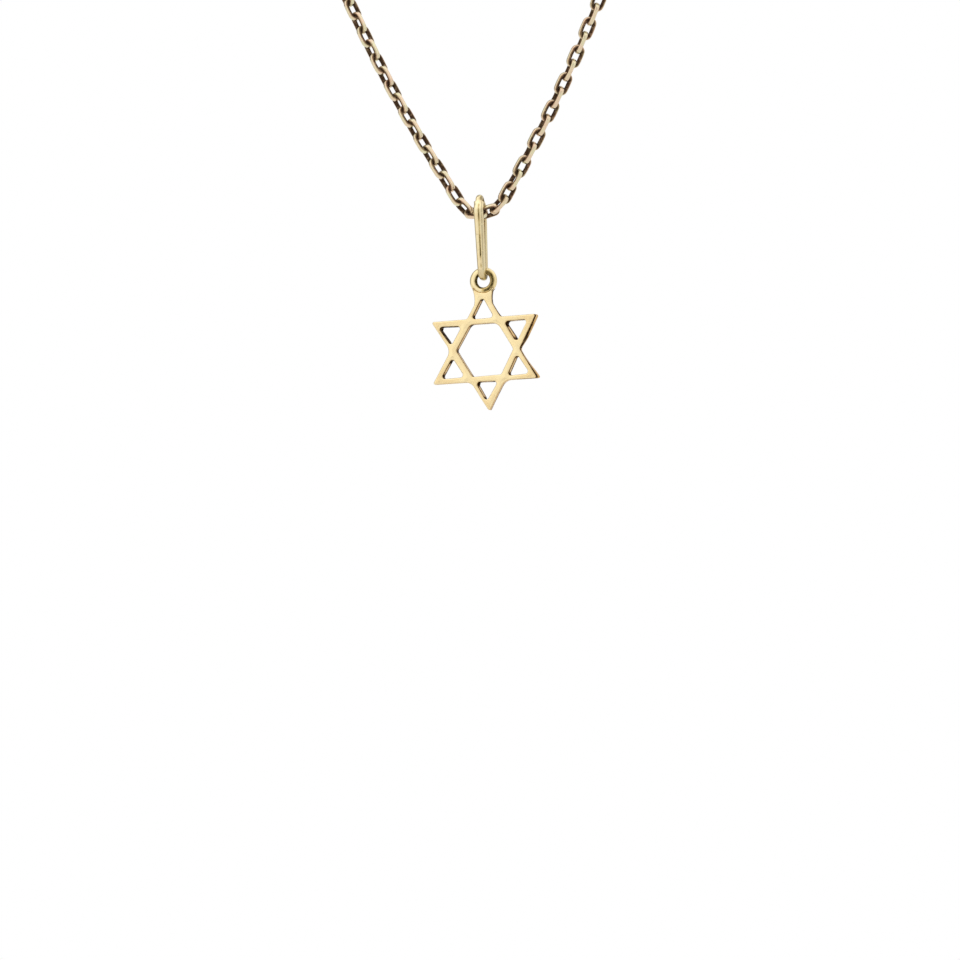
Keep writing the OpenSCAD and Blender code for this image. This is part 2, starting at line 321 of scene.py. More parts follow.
def make_piece(name, points, face_arrays, patina_and_shade, body, material, stands_for):
    """A mesh piece from points in mm, arrays of faces, and the number for patina and painted shade at
    each point.
    """
    near_origin = points - hang
    volume = sum(shell_volume(near_origin, faces) for faces in face_arrays)
    if volume < 0:
        face_arrays = [faces[:, ::-1] for faces in face_arrays]
    mesh = bpy.data.meshes.new(name)
    mesh.from_pydata((points * MM).tolist(), [], [f for faces in face_arrays for f in faces.tolist()])
    marks = mesh.attributes.new("patina_and_shade", "FLOAT", "POINT")
    marks.data.foreach_set("value", np.clip(patina_and_shade, 0, 1).astype(np.float32))
    mesh.polygons.foreach_set("use_smooth", np.full(len(mesh.polygons), True))
    mesh.materials.append(gold[material])
    piece = bpy.data.objects.new(name, mesh)
    bpy.context.scene.collection.objects.link(piece)
    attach(piece, body)
    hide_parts(stands_for)
    print(f"{name}: {len(mesh.vertices)} points, {len(mesh.polygons)} faces, {abs(volume):.1f} mm3")


# %% [markdown]
# ## Rings and tubes
#
# A wire is a section carried along a closed path. Points are kept in a grid, one row for each
# place on the path and one column for each place round the section, and both ways wrap round.

# %% Tube helpers
def tube_faces(rows, columns, copies=1):
    """Quads of a grid that wraps both ways, for so many copies of the grid laid one after the other."""
    i, j = np.meshgrid(np.arange(rows), np.arange(columns), indexing="ij")
    corner = lambda a, b: (a % rows) * columns + b % columns
    quads = np.stack([corner(i, j), corner(i + 1, j), corner(i + 1, j + 1), corner(i, j + 1)], -1)
    firsts = np.arange(copies)[:, None, None] * rows * columns
    return (quads.reshape(-1, 4) + firsts).reshape(-1, 4)


def superellipse(angles, power):
    """Unit section |x|^p + |y|^p = 1: x = sgn(cos v) |cos v|^(2/p), y the same with sin v."""
    c, s = np.cos(angles), np.sin(angles)
    return np.sign(c) * np.abs(c) ** (2 / power), np.sign(s) * np.abs(s) ** (2 / power)


def smoothstep(low, high, value):
    """0 below low, 1 above high, and 3t^2 - 2t^3 between them; it falls where low is above high."""
    t = np.clip((value - low) / (high - low), 0, 1)
    return t * t * (3 - 2 * t)


# %% [markdown]
# ## The star's outline
#
# The star is two triangles laid over each other. Hand sawing moved each tip a little, so a short
# table holds each tip's direction and how far it strayed. The outline is walked once round: tips
# and notches are corners rounded by an arc, and the top tip swells into the neck below the ring.

# %% Plane geometry
def turned(v, degrees):
    """Vectors of the plane turned by an angle."""
    c, s = np.cos(np.radians(degrees)), np.sin(np.radians(degrees))
    return np.stack([v[..., 0] * c - v[..., 1] * s, v[..., 0] * s + v[..., 1] * c], -1)


def unit(v):
    """Vectors divided by their length."""
    return v / np.linalg.norm(v, axis=-1, keepdims=True)


def meet(a, b, c, d):
    """Point where the line through a and b meets the line through c and d."""
    u, v, w = b - a, d - c, c - a
    return a + u * (w[0] * v[1] - w[1] * v[0]) / (u[0] * v[1] - u[1] * v[0])


def round_corner(a, p, b, radius, steps=8):
    """Arc that touches p-a and p-b, its centre radius / sin(half the angle) along the bisector."""
    u, v = unit(a - p), unit(b - p)
    half = np.arccos(np.clip(u @ v, -1, 1)) / 2
    centre = p + unit(u + v) * radius / np.sin(half)
    start = p + u * radius / np.tan(half) - centre
    side = np.sign(u[0] * v[1] - u[1] * v[0])
    angles = side * (np.degrees(2 * half) - 180) * np.linspace(0, 1, steps + 1)
    return centre + np.stack([turned(start, a) for a in angles])


# %% Tips and notches
STAR_R, BAR_W, STAR_T = 7.75, 0.73, 1.1
# Each tip's direction in degrees, and how far it strayed to the right and up as a share of STAR_R
TIPS = np.array([[90, 0, 0], [150, -0.027, -0.001], [210, -0.04, -0.008],
                 [270, 0.038, 0.012], [330, -0.03, 0.004], [30, -0.012, 0.033]])
tips = STAR_R * (turned(np.array([1.0, 0.0]), TIPS[:, 0]) + TIPS[:, 1:])
tip = lambda i: tips[i % 6]
notch = [meet(tip(i), tip(i + 2), tip(i - 1), tip(i + 1)) for i in range(6)]
print("tips", np.round(tips, 2).tolist())

# %% Neck
# Width at the waist, the waist below the tip's circle, radii of the hollow and of the fillet, how
# much narrower the right half is, how far the hollow reaches below the waist, and the steps
NECK_W, WAIST_DROP, NECK_FLARE, NECK_ROUND = 2.26, 1.35, 3.4, 0.4
NECK_ASIDE, HOLLOW_DROP, FILLET_STEPS, NECK_STEPS = 0.065, 1.2, 40, 60
# The ring's hole and wire, and how deep the ring sits in the neck
RING_HOLE, RING_WIRE, RING_SEAT = 1.74, 0.82, 0.14
ring_out = RING_HOLE / 2 + RING_WIRE
neck_top = RING_RISE - ring_out / 2
waist_y = STAR_R - WAIST_DROP


def neck_side(mirror):
    """One side of the neck, x over y: the furthest out of the tip's side, the hollow and the fillet."""
    flip = np.array([mirror, 1])
    low, peak = (notch[5], tip(0)) if mirror > 0 else (notch[0] * flip, tip(0) * flip)
    beyond = tip(5) if mirror > 0 else tip(1) * flip
    fillet = round_corner(peak, low, beyond, NECK_ROUND, FILLET_STEPS)
    y = np.linspace(fillet[-1, 1] + 0.002, neck_top, NECK_STEPS)
    along_tip = low[0] + (peak[0] - low[0]) * (y - low[1]) / (peak[1] - low[1])
    depth = np.sqrt(np.clip(NECK_FLARE ** 2 - (y - STAR_R + WAIST_DROP) ** 2, 0, None))
    hollow = NECK_W / 2 - NECK_ASIDE * mirror + NECK_FLARE - depth
    hollow = np.where(y > waist_y - HOLLOW_DROP, hollow, 0)
    order = np.argsort(fillet[:, 1])
    soft = np.interp(y, fillet[order, 1], fillet[order, 0], right=0)
    x = np.maximum(np.maximum(along_tip, hollow), soft)
    return np.column_stack([x, y]) * flip


neck_right, neck_left = neck_side(1), neck_side(-1)
print("neck", round(float(neck_right[-1, 0] - neck_left[-1, 0]), 2), "mm wide at the ring")

# %% [markdown]
# ## Contours
#
# Seven holes are sawn through the star: a hexagon in the middle and a triangle behind each tip.
# The saw strayed most at their corners, so each corner has its own small move. Every contour runs
# with the metal on its left, so the outer one goes round one way and the holes the other. Straight
# stretches get points at even steps, so that shading stays even along them.

# %% Contour helpers
def evenly(points, step):
    """The closed polyline with each side longer than step cut into equal parts of about that step."""
    following = np.roll(points, -1, axis=0)
    counts = np.maximum(1, np.round(np.linalg.norm(following - points, axis=1) / step)).astype(int)
    owner = np.repeat(np.arange(len(points)), counts)
    share = (np.arange(counts.sum()) - np.repeat(np.cumsum(counts) - counts, counts)) / counts[owner]
    return points[owner] + (following - points)[owner] * share[:, None]


def inset(p, d):
    """Corners of the triangle p with each side moved inwards by d."""
    shift = d * turned(unit(np.roll(p, -1, axis=0) - p), 90)
    return np.array([
        meet(p[i] + shift[i], p[(i + 1) % 3] + shift[i], p[i - 1] + shift[i - 1], p[i] + shift[i - 1])
        for i in range(3)])


def sawn_hole(corners, radius):
    """A hole's rounded corners, each with its own radius, turned so that the metal is on the left."""
    n = len(corners)
    arcs = [round_corner(corners[i - 1], corners[i], corners[(i + 1) % n], radius[i]) for i in range(n)]
    return np.concatenate(arcs)[::-1]


# %% Openings
# Radii of the corners, those of the middle opening from its upper right corner round
HOLE_ROUND = 0.33
MIDDLE_ROUND = [1.3, 0.8, 0.4, 0.4, 0.4, 0.4]
# How far the saw strayed at the three corners of each small hole, in mm: first the holes behind
# the top, lower left and lower right tips, then behind the upper left, bottom and upper right ones
SAW_STRAY = np.array([
    [[0, -0.04], [-0.18, 0.39], [-0.35, -0.07]], [[-0.22, -0.13], [-0.25, -0.12], [-0.32, -0.05]],
    [[-0.1, -0.23], [0.33, -0.09], [0.04, 0.16]], [[-0.25, -0.08], [-0.53, 0.06], [-0.3, -0.08]],
    [[-0.3, 0], [-0.28, -0.24], [0, -0.05]], [[0.04, 0], [0.18, 0.16], [-0.03, 0.12]]
])
MIDDLE_STRAY = np.array([[0, 0], [-0.03, 0.03], [-0.11, 0], [-0.17, -0.09], [0, 0], [0.03, 0]])
up_out, down_out = tips[[0, 2, 4]], tips[[1, 3, 5]]
up_in, down_in = inset(up_out, BAR_W), inset(down_out, BAR_W)
round_up = np.roll(up_out, -1, axis=0)
cut = lambda p, q, i, j: meet(p[i % 3], p[(i + j) % 3], q[(i + 2) % 3], q[i % 3])
small_holes = [[cut(p, q, i, 2), p[i], cut(p, q, i, 1)]
               for p, q in ((up_in, down_out), (down_in, round_up)) for i in range(3)]
small_holes = np.array(small_holes) + SAW_STRAY
middle = np.array([cut(up_in, down_in, i, j) for i in range(3) for j in (2, 1)])
holes = [sawn_hole(corners, [HOLE_ROUND] * 3) for corners in small_holes]
holes.append(sawn_hole(middle + MIDDLE_STRAY, MIDDLE_ROUND))
print(len(holes), "openings")

# %% Outer contour
TIP_ROUND = 0.195
NOTCH_ROUND, NOTCH_STEPS = [0, 1.3, 1.3, 1.3, 0.6], 12  # from the upper left notch to the right one
CONTOUR_STEP, SEAT_STEP, SEAT_POINTS = 0.16, 0.05, 33
seat_r = ring_out - RING_SEAT
seat_y = neck_top - RING_RISE
seat_start = np.arctan2(seat_y, np.sqrt(seat_r ** 2 - seat_y ** 2))
seat_turn = np.linspace(seat_start, -np.pi - seat_start, SEAT_POINTS)
seat = np.column_stack([np.cos(seat_turn), np.sin(seat_turn)]) * seat_r + [0, RING_RISE]
outline = [neck_right[:-2], neck_right[-1:] - [[SEAT_STEP, 0]], seat[1:-1],
           neck_left[-1:] + [[SEAT_STEP, 0]], neck_left[-3::-1]]
for i in range(1, 6):
    outline.append(round_corner(tip(i - 2), tip(i), tip(i + 2), TIP_ROUND))
    if i < 5:
        outline.append(round_corner(tip(i), notch[i], tip(i + 1), NOTCH_ROUND[i], NOTCH_STEPS))
contours = [evenly(c, CONTOUR_STEP) for c in [np.concatenate(outline)] + holes]
print("contours of", [len(c) for c in contours], "points")

# %% [markdown]
# ## The star's faces and walls
#
# The sawn wall and its softened edges are a profile carried along each contour: from the front
# face over a quarter circle, down the wall, and over another quarter circle to the back face. The
# saw leaned a little, so the walls on the left of the openings reach further in at the back, and
# show from the right. The faces between the contours are filled with small triangles. Polishing
# has drawn the metal down towards every edge, so the face rises a hair's breadth away from them.

# %% Edge profile
# Radius of the soft edge, a flat lip inside it, and how far the face rises, in mm
EDGE, LIP, CROWN = 0.15, 0.03, 0.055
half_t = STAR_T / 2 - CROWN
quarter = np.linspace(0, np.pi / 2, 6)
front_d = np.concatenate([[EDGE + LIP], EDGE * (1 - np.sin(quarter))])
front_z = np.concatenate([[half_t], half_t - EDGE * (1 - np.cos(quarter))])
wall_z = np.array([0.3, 0.15, 0, -0.15, -0.3])
profile_d = np.concatenate([front_d, 0 * wall_z, front_d[::-1]])
profile_z = np.concatenate([front_z, wall_z, -front_z[::-1]])
# Places of the profile from 0 to 1: on the dull wall, on its front third, and on its back half; the last
# two carry painted shade lines along the edges
dull_wall = smoothstep(half_t - EDGE * 0.25, half_t - EDGE * 0.75, np.abs(profile_z))
edge_line = dull_wall * smoothstep(0.05, 0.3, profile_z)
far_line = dull_wall * smoothstep(-0.05, -0.2, profile_z)
print("profile of", len(profile_z), "points")

# %% Walls
# How far the left walls reach into the openings at the back: outline, small holes, middle
DRAFT = [0, 0.14, 0.12, 0.14, 0.3, 0.26, 0.14, 0.07]


def edge_band(contour, draft):
    """Points, quads and front rim of a wall: each contour point moved into the metal by d at height z."""
    closing = draft * (half_t - profile_z) / (2 * half_t) * (1 - profile_d / (EDGE + LIP))
    ahead = unit(np.roll(contour, -1, axis=0) - contour)
    bisector = unit(turned(ahead + np.roll(ahead, 1, axis=0), 90))
    stretch = 1 / np.clip(np.sum(bisector * turned(ahead, 90), axis=1), 0.5, 1)
    normal = bisector * stretch[:, None]
    # 1 where the metal lies left of an opening, 0.3 where it lies above, 0 on the other sides
    on_left = np.clip(0.3 * normal[:, 1:] - normal[:, :1], 0, 1)
    flat = contour[:, None] + normal[:, None] * (profile_d - on_left * closing)[..., None]
    points = np.concatenate([flat, np.broadcast_to(profile_z[:, None], flat.shape[:2] + (1,))], -1)
    n, m = points.shape[:2]
    i, j = np.meshgrid(np.arange(n), np.arange(m - 1), indexing="ij")
    corner = lambda a, b: (a % n) * m + b
    quads = np.stack([corner(i, j), corner(i, j + 1), corner(i + 1, j + 1), corner(i + 1, j)], -1)
    return points.reshape(-1, 3), quads.reshape(-1, 4), points[:, 0, :2]


bands = [edge_band(c, draft) for c, draft in zip(contours, DRAFT)]
rims = [rim for _, _, rim in bands]
print("walls of", sum(len(quads) for _, quads, _ in bands), "quads")

# %% Where the metal is
def inside_metal(p):
    """Even-odd rule: a point is in the metal if a ray to +X crosses the rims an odd number of times."""
    a = np.concatenate(rims)
    b = np.concatenate([np.roll(rim, -1, axis=0) for rim in rims])
    spanned = (a[:, 1] > p[:, None, 1]) != (b[:, 1] > p[:, None, 1])
    climb = np.where(b[:, 1] == a[:, 1], 1, b[:, 1] - a[:, 1])
    crossing = a[:, 0] + (p[:, None, 1] - a[:, 1]) * (b[:, 0] - a[:, 0]) / climb
    return (spanned & (crossing > p[:, None, 0])).sum(axis=1) % 2 == 1


def rim_distance(p):
    """Distance from each point to the nearest rim point, near enough for a soft slope."""
    return np.sqrt(((p[:, None] - np.concatenate(rims)) ** 2).sum(-1).min(axis=1))


# %% Face between the contours
SPACING, ROW_SHARE, GRID_HALF = 0.15, 0.87, 8
KEEP_OFF = 0.6  # how far the grid stays off the rims, as a share of its spacing
SLOPE, WAVE = 0.25, 0.003
gx, gy = np.meshgrid(np.arange(-GRID_HALF, GRID_HALF, SPACING),
                     np.arange(-GRID_HALF, GRID_HALF, SPACING * ROW_SHARE))
gx[::2] += SPACING / 2
grid = np.column_stack([gx.ravel(), gy.ravel()])
grid = grid[inside_metal(grid)]
grid = grid[rim_distance(grid) > SPACING * KEEP_OFF]
rim_edges, count = [], 0
for rim in rims:
    around_rim = count + np.arange(len(rim))
    rim_edges += np.column_stack([around_rim, np.roll(around_rim, -1)]).tolist()
    count += len(rim)
flat_points = [Vector(p) for p in np.concatenate(rims + [grid])]
made_points, _, made_faces = delaunay_2d_cdt(flat_points, rim_edges, [], 0, 1e-7)[:3]
made_points, triangles = np.array([tuple(p) for p in made_points]), np.array(made_faces)
triangles = triangles[inside_metal(made_points[triangles].mean(axis=1))]

x, y = made_points.T
rise = 1 - np.exp(-(rim_distance(made_points) / SLOPE) ** 2)
wave = np.sin(2.1 * x + 1.3 * y) + np.sin(1.7 * y - 0.9 * x + 1)
face_z = half_t + rise * (CROWN - 2 * WAVE + WAVE * wave)
print("face of", len(triangles), "triangles")

# %% [markdown]
# ## Painted shade on the walls
#
# The wall of each opening gets painted shade along its front and back edges, and brown painted shade
# over its whole depth near the opening's corners. The outer wall gets painted shade where the star
# turns away from the light, on its right-hand points. Its back edge lies further out there, so that
# the wall shows in front.

# %% Painted shade on the walls
# How far from its corners each opening's wall gets brown painted shade over its whole depth, the middle
# last
DARK_REACH = [0.7, 0.9, 0.6, 3, 0.8, 0.9, 0.35]
REACH_SOFT = 0.25


def opening_painted_shade(points, corners, reach, dull, line, far):
    """Painted shade: dark front and back lines, and a dark wall as far as reach from the nearest corner.
    """
    from_corner = np.sqrt(((points[:, None, :2] - corners) ** 2).sum(-1).min(axis=1))
    in_corner = dull * smoothstep(reach + REACH_SOFT, reach - REACH_SOFT, from_corner)
    return np.maximum(0.1 * dull + 0.85 * line + 0.85 * far, in_corner)


def outer_painted_shade(points, dull, line, far):
    """Painted shade: on the right, dark in front of the depth start and lighter behind it; elsewhere
    mostly a line.
    """
    x, y, z = points.T
    on_neck = smoothstep(2.6, 3.4, y) * smoothstep(0.5, 0.9, x) * smoothstep(neck_top, neck_top - 0.3, y)
    on_right = np.maximum(smoothstep(3.0, 4.4, x), on_neck)
    low_right = smoothstep(-3.6, -4.4, y) * smoothstep(0.1, 0.4, x)
    start = np.where(y > 0, np.interp(x, [4.5, 6.4], [-0.45, -0.05]), -0.15)
    dark = on_right * dull * smoothstep(start, start + 0.2, z)
    patina_and_shade = (0.12 * dull + 0.5 * line) * (1 - on_right) + dark
    patina_and_shade = np.maximum(patina_and_shade, low_right * (0.35 * dull + 0.6 * far))
    return np.maximum(patina_and_shade, 0.5 * far * on_right)


# %% Faces and walls together
TIP_DARKEN = 0.1
front_face = np.column_stack([made_points, face_z])
back_face = front_face * [1, 1, -1]
# The faces are a little darker towards the tips
tip_darkening = TIP_DARKEN * smoothstep(4.5, 6.5, np.hypot(x, y)) * (y < 5)
all_points, star_shade_parts = [front_face, back_face], [tip_darkening, tip_darkening]
walls, offset = [], 2 * len(front_face)
for k, (points, quads, _) in enumerate(bands):
    parts = [np.tile(part, len(contours[k])) for part in (dull_wall, edge_line, far_line)]
    if k == 0:
        star_shade_parts.append(outer_painted_shade(points, *parts))
    else:
        corners = small_holes[k - 1] if k < len(bands) - 1 else middle
        star_shade_parts.append(opening_painted_shade(points, corners, DARK_REACH[k - 1], *parts))
    all_points.append(points)
    walls.append(quads + offset)
    offset += len(points)
# Painted shade on the walls, and the faces a little darker towards the tips
star_points, star_painted_shade = np.concatenate(all_points), np.concatenate(star_shade_parts)

# The faces and the walls share their rims: points that agree to a tenth of a micron become one
_, first, merged = np.unique(np.round(star_points, 4), axis=0, return_index=True, return_inverse=True)
star_points, star_painted_shade = star_points[first], star_painted_shade[first]
face_parts = [triangles, triangles[:, ::-1] + len(front_face), np.concatenate(walls)]
star_faces = [merged.ravel()[faces] for faces in face_parts]
print("star of", len(star_points), "points")

# %% Uneven back
# The back lies 0.3 mm further right on the upper right point and 0.4 mm on the lower right one, a
# little further left at the neck and the bottom; the bottom tip is sawn 0.1 mm to the left
x, y, z = star_points.T
back_out = 0.3 * smoothstep(1.5, 4, x) * smoothstep(-0.5, 1.5, y)
back_out = back_out + 0.4 * smoothstep(4.8, 6.6, x) * smoothstep(0.5, -1.5, y)
back_out -= 0.12 * smoothstep(3.5, 5, y) * smoothstep(0.2, 1, x) + 0.04 * smoothstep(-3.2, -4.5, y)
star_points[:, 0] += back_out * (half_t - z) / (2 * half_t) - 0.1 * smoothstep(-3.5, -7, y)
print("back moved by", round(float(back_out.min()), 2), "to", round(float(back_out.max()), 2), "mm")

# %% Star piece
def star_place(p):
    """From the star's own plane, x to the right and y up and z to the front, into the frame."""
    return star_centre + np.column_stack([p[:, 0], -p[:, 2], p[:, 1]])


make_piece("star_plate", star_place(star_points), star_faces, star_painted_shade,
           "star", "star_gold", "star")

# %% [markdown]
# ## The ring on top
#
# The ring is round wire bent to a circle and soldered into its seat, a torus: a small circle
# carried round a large one. The wire isn't quite even: it is fuller outside on the left, and
# thicker inside on the lower right. Its inner side gets painted shade, and a painted dark crescent,
# a painted reflection, runs down the front of the right side.

# %% Ring helpers
def around_ring(rows, columns):
    """Angle u round the ring and angle v round the wire at each point of the grid."""
    return np.meshgrid(np.arange(rows) / rows * TURN, np.arange(columns) / columns * TURN, indexing="ij")


def torus(radius, wire, u, v):
    """Ring about Z: ((R + r cos v) cos u, (R + r cos v) sin u, r sin v)."""
    from_axis = radius + wire / 2 * np.cos(v)
    points = np.stack([from_axis * np.cos(u), from_axis * np.sin(u), wire / 2 * np.sin(v)], -1)
    return points.reshape(-1, 3)


def facing_in(v):
    """How far each point of a ring faces its middle, from 0 to 1."""
    return smoothstep(0.2, 0.9, -np.cos(v)).ravel()


# %% Ring
# Steps round the ring and round its wire, and how uneven the wire is, in mm
RING_ROWS, RING_COLUMNS = 120, 40
THICKER, FULLER = 0.1, 0.13
u, v = around_ring(RING_ROWS, RING_COLUMNS)
ring_points = torus((RING_HOLE + RING_WIRE) / 2, RING_WIRE, u, v)
outward = np.stack([np.cos(u), np.sin(u)], -1)
thicker = THICKER * np.clip(np.cos(u + 0.6), 0, 1) * np.clip(-np.cos(v), 0, 1)
fuller = FULLER * np.clip(np.cos(u - 3.4), 0, 1) * np.clip(np.cos(v), 0, 1)
ring_points[:, :2] -= (thicker[..., None] * outward).reshape(-1, 2)
ring_points[:, :2] += (fuller[..., None] * outward).reshape(-1, 2)

# Painted shade on the inner side, and on the right half a painted dark crescent down the front, a painted
# reflection
inner = facing_in(v)
to_right = smoothstep(-0.2, 0.5, np.cos(u + 0.2)).ravel()
crescent = np.minimum(1, 1.7 * np.exp(-((v.ravel() - 1.66) / 0.4) ** 2))
ring_painted_shade = (1 - to_right) * smoothstep(0.1, 0.6, inner) + to_right * np.maximum(crescent, 0.2 * inner)
ring_faces = tube_faces(RING_ROWS, RING_COLUMNS)
make_piece("star_ring", star_place(ring_points + [0, RING_RISE, 0]), [ring_faces],
           ring_painted_shade * 0.95, "star", "ring_gold", "star")

# %% [markdown]
# ## The bail
#
# The bail is one long strip, bent over the chain at the top and round the star's ring at the
# foot. Seen from the side, its inside is three circles joined by straight lines: a small one at
# the crown, a larger one round the chain and a small one at the foot. The strip's section is
# carried along that path. It is wide and domed in front, and narrow at the back. Below the crown
# the front has a ledge: above it the strip is narrower but thicker, and leans to the left.

# %% Bail circles
# The crown above the chain, the bail's length, the strip at the crown and at the foot, the crown's
# inside, and the play round the chain and the star's ring
CROWN_RISE, BAIL_L, BAIL_T, FOOT_T, CROWN_IN, FIT = 2.05, 10.6, 0.5, 0.62, 1.1, 0.15
LINK_W, WIRE_T = 1.7, 0.44
foot_z = CROWN_RISE - BAIL_L
# Radius and height of the circles at the crown, round the chain and at the foot
circles = np.array([
    [CROWN_IN / 2, CROWN_RISE - BAIL_T - CROWN_IN / 2],
    [np.hypot(LINK_W, WIRE_T) / 2 + FIT, 0],
    [RING_WIRE / 2 + FIT, foot_z + FOOT_T + RING_WIRE / 2 + FIT]])


def touching(a, b):
    """Angle of the direction in which one line touches circles a and b, each a radius and a height."""
    return np.arcsin((b[0] - a[0]) / (a[1] - b[1]))


upper, lower = touching(circles[0], circles[1]), touching(circles[1], circles[2])
print("straight parts lean by", np.round(np.degrees([upper, lower]), 1), "degrees")

# %% Bail path
BAIL_STEP = 0.09
# Front half of the path from the crown down: the normal's angle at both ends, the circle, the steps
spans = [(np.pi / 2, upper, 0, 16), (upper, lower, 1, 10), (lower, -np.pi / 2, 2, 16)]
normal_angle = np.concatenate([np.linspace(a, b, n) for a, b, _, n in spans])
radius, middle_z = circles[np.concatenate([np.full(n, c) for _, _, c, n in spans])].T
half_path = np.column_stack([radius * np.cos(normal_angle), middle_z + radius * np.sin(normal_angle)])
whole_path = np.concatenate([half_path, half_path[-2:0:-1] * [-1, 1]])
whole_facing = np.concatenate([normal_angle, np.pi - normal_angle[-2:0:-1]])


def resample(points, angles, step):
    """The closed path at even steps, with the normal's angle between the given ones."""
    turns = np.unwrap(angles)
    closed, turns = np.vstack([points, points[:1]]), np.append(turns, turns[0] - TURN)
    run = np.append(0, np.cumsum(np.linalg.norm(np.diff(closed, axis=0), axis=1)))
    s = np.linspace(0, run[-1], int(run[-1] / step), endpoint=False)
    return np.column_stack([np.interp(s, run, closed[:, k]) for k in (0, 1)]), np.interp(s, run, turns)


path, facing = resample(whole_path, whole_facing, BAIL_STEP)
print("bail path of", len(path), "steps")

# %% Bail widths
FRONT_W, FRONT_FOOT_W, CROWN_W, BACK_W, FOOT_W = 1.28, 0.94, 0.7, 0.6, 0.66
SHOULDER_DROP, LEDGE_T = 0.62, 0.14
depth, level_z = path[:, 0], path[:, 1]
in_front = depth > 0
shoulder_z = CROWN_RISE - SHOULDER_DROP
above_foot = smoothstep(foot_z + 0.2, foot_z + 0.9, level_z)
up_front = np.clip((level_z - foot_z) / (shoulder_z - foot_z), 0, 1)
front_width = FRONT_FOOT_W + (FRONT_W - FRONT_FOOT_W) * up_front
front_width += (CROWN_W - front_width) * smoothstep(shoulder_z - 0.32, shoulder_z - 0.22, level_z)
front_width = FOOT_W + (front_width - FOOT_W) * above_foot
back_width = BACK_W + (CROWN_W - BACK_W) * smoothstep(0.2, 1.2, level_z)
back_width = FOOT_W + (back_width - FOOT_W) * above_foot
width = np.where(in_front, front_width, back_width)
thick = FOOT_T + (BAIL_T - FOOT_T) * smoothstep(circles[2, 1], 0, level_z)
thick = thick + LEDGE_T * smoothstep(1.2, 1.5, level_z)
print("bail from", round(float(width.min()), 2), "to", round(float(width.max()), 2), "mm wide")

# %% Bail section
BAIL_COLUMNS = 64
# Powers of the section: domed, but flat on the inside of the front
DOMED, FLAT = 2.3, 5
# The crown's lean and the groove's depth in mm, and its place and width as shares of half the strip
LEAN, GROOVE_D, GROOVE_X, GROOVE_W = 0.14, 0.03, 0.12, 0.13
# Depth of the groove down the front by height, as a share of GROOVE_D, kept within 0 and 1; the same
# share paints a dark line in the groove, a painted reflection
GROOVE = [(-7.1, 0), (-6.75, 0.9), (-6.4, 0), (-5.8, 0.3), (-5.5, 1.6), (-3.2, 1.6), (-2.8, 0.6),
          (-1.2, 0.6), (-0.9, 1.1), (0.1, 1.1), (0.3, 0.2), (0.55, 0.8), (0.8, 0)]
strip_v = np.arange(BAIL_COLUMNS) / BAIL_COLUMNS * TURN
domed_x, domed_h = superellipse(strip_v, DOMED)
flat_x, flat_h = superellipse(strip_v, FLAT)
flatness = smoothstep(-0.3, 0.3, depth)[:, None] * (np.sin(strip_v) <= 0)
sx, sh = domed_x + flatness * (flat_x - domed_x), domed_h + flatness * (flat_h - domed_h)
groove = np.interp(level_z, *np.array(GROOVE).T) * in_front
in_groove = np.clip(groove[:, None] * np.exp(-((sx - GROOVE_X) / GROOVE_W) ** 2) * (sh > 0), 0, 1)
across = width[:, None] / 2 * sx
out = thick[:, None] / 2 * (1 + sh) - GROOVE_D * in_groove
bail_depth = depth[:, None] + out * np.cos(facing)[:, None]
bail_height = level_z[:, None] + out * np.sin(facing)[:, None]
lean = -LEAN * smoothstep(0.9, 1.6, bail_height)
bail_points = hang + np.stack([across + lean, -bail_depth, bail_height], -1).reshape(-1, 3)
print("bail of", len(bail_points), "points")

# %% Bail piece
# Painted shade on the inner faces, down the sides of the foot, on the toe and under the ledge, and a
# painted dark reflection along the groove
bail_painted_shade = smoothstep(0.1, -0.7, sh) * np.where(in_front, 0.15, 0.05)[:, None]
sideways = np.abs(sx)
foot_sides = smoothstep(foot_z + 1.4, foot_z + 0.6, level_z)[:, None] * smoothstep(0.45, 0.95, sideways)
toe = smoothstep(foot_z + 1.0, foot_z + 0.6, level_z)[:, None]
ledge = np.exp(-((level_z - shoulder_z + 0.02) / 0.16) ** 2)[:, None] * smoothstep(0.6, 0.9, sideways)
for mark in (foot_sides * 0.85, toe * 0.35, ledge * 0.85, in_groove):
    bail_painted_shade = np.maximum(bail_painted_shade, mark)
make_piece("bail_strip", bail_points, [tube_faces(len(path), BAIL_COLUMNS)], bail_painted_shade.ravel(),
           "bail", "bail_gold", "bail")

# %% [markdown]
# ## The course of the chain
#
# The chain lies as it is worn: it leaves the bail, curves up each arm, runs over the shoulders
# and closes behind the neck. In the flat each arm is a few arcs and one straight stretch. That
# flat course is then bent over the chest and shoulders. A joint lies between every two links, so
# the links are straight chords of the course, and each one is rolled a quarter turn on from the
# last.

# %% Chain sizes
# A link's length, its wire, the play between two links, and half of what they lose in the bend
LINK_L, WIRE_W, LINK_SLACK, BEND_SLACK = 2.88, 0.33, 0.28, 0.1
PITCH = LINK_L - 2 * WIRE_W - LINK_SLACK
SIDE_LINKS, TURN_LINKS = 101, 45
CLASP_HOLE, CLASP_WIRE, EYE_HOLE, EYE_WIRE, CLASP_LAP = 3.2, 0.7, 1.0, 0.5, 0.3
CHEST_LEAN, CHEST_H, SHOULDER_R = np.radians(1), 30, 150
clasp_run = CLASP_HOLE + CLASP_WIRE + EYE_HOLE + EYE_WIRE - CLASP_LAP - LINK_SLACK
half_loop = ((2 * SIDE_LINKS + 1) * PITCH + clasp_run) / 2 - 3 * BEND_SLACK
print("half the loop is", round(half_loop, 2), "mm long")

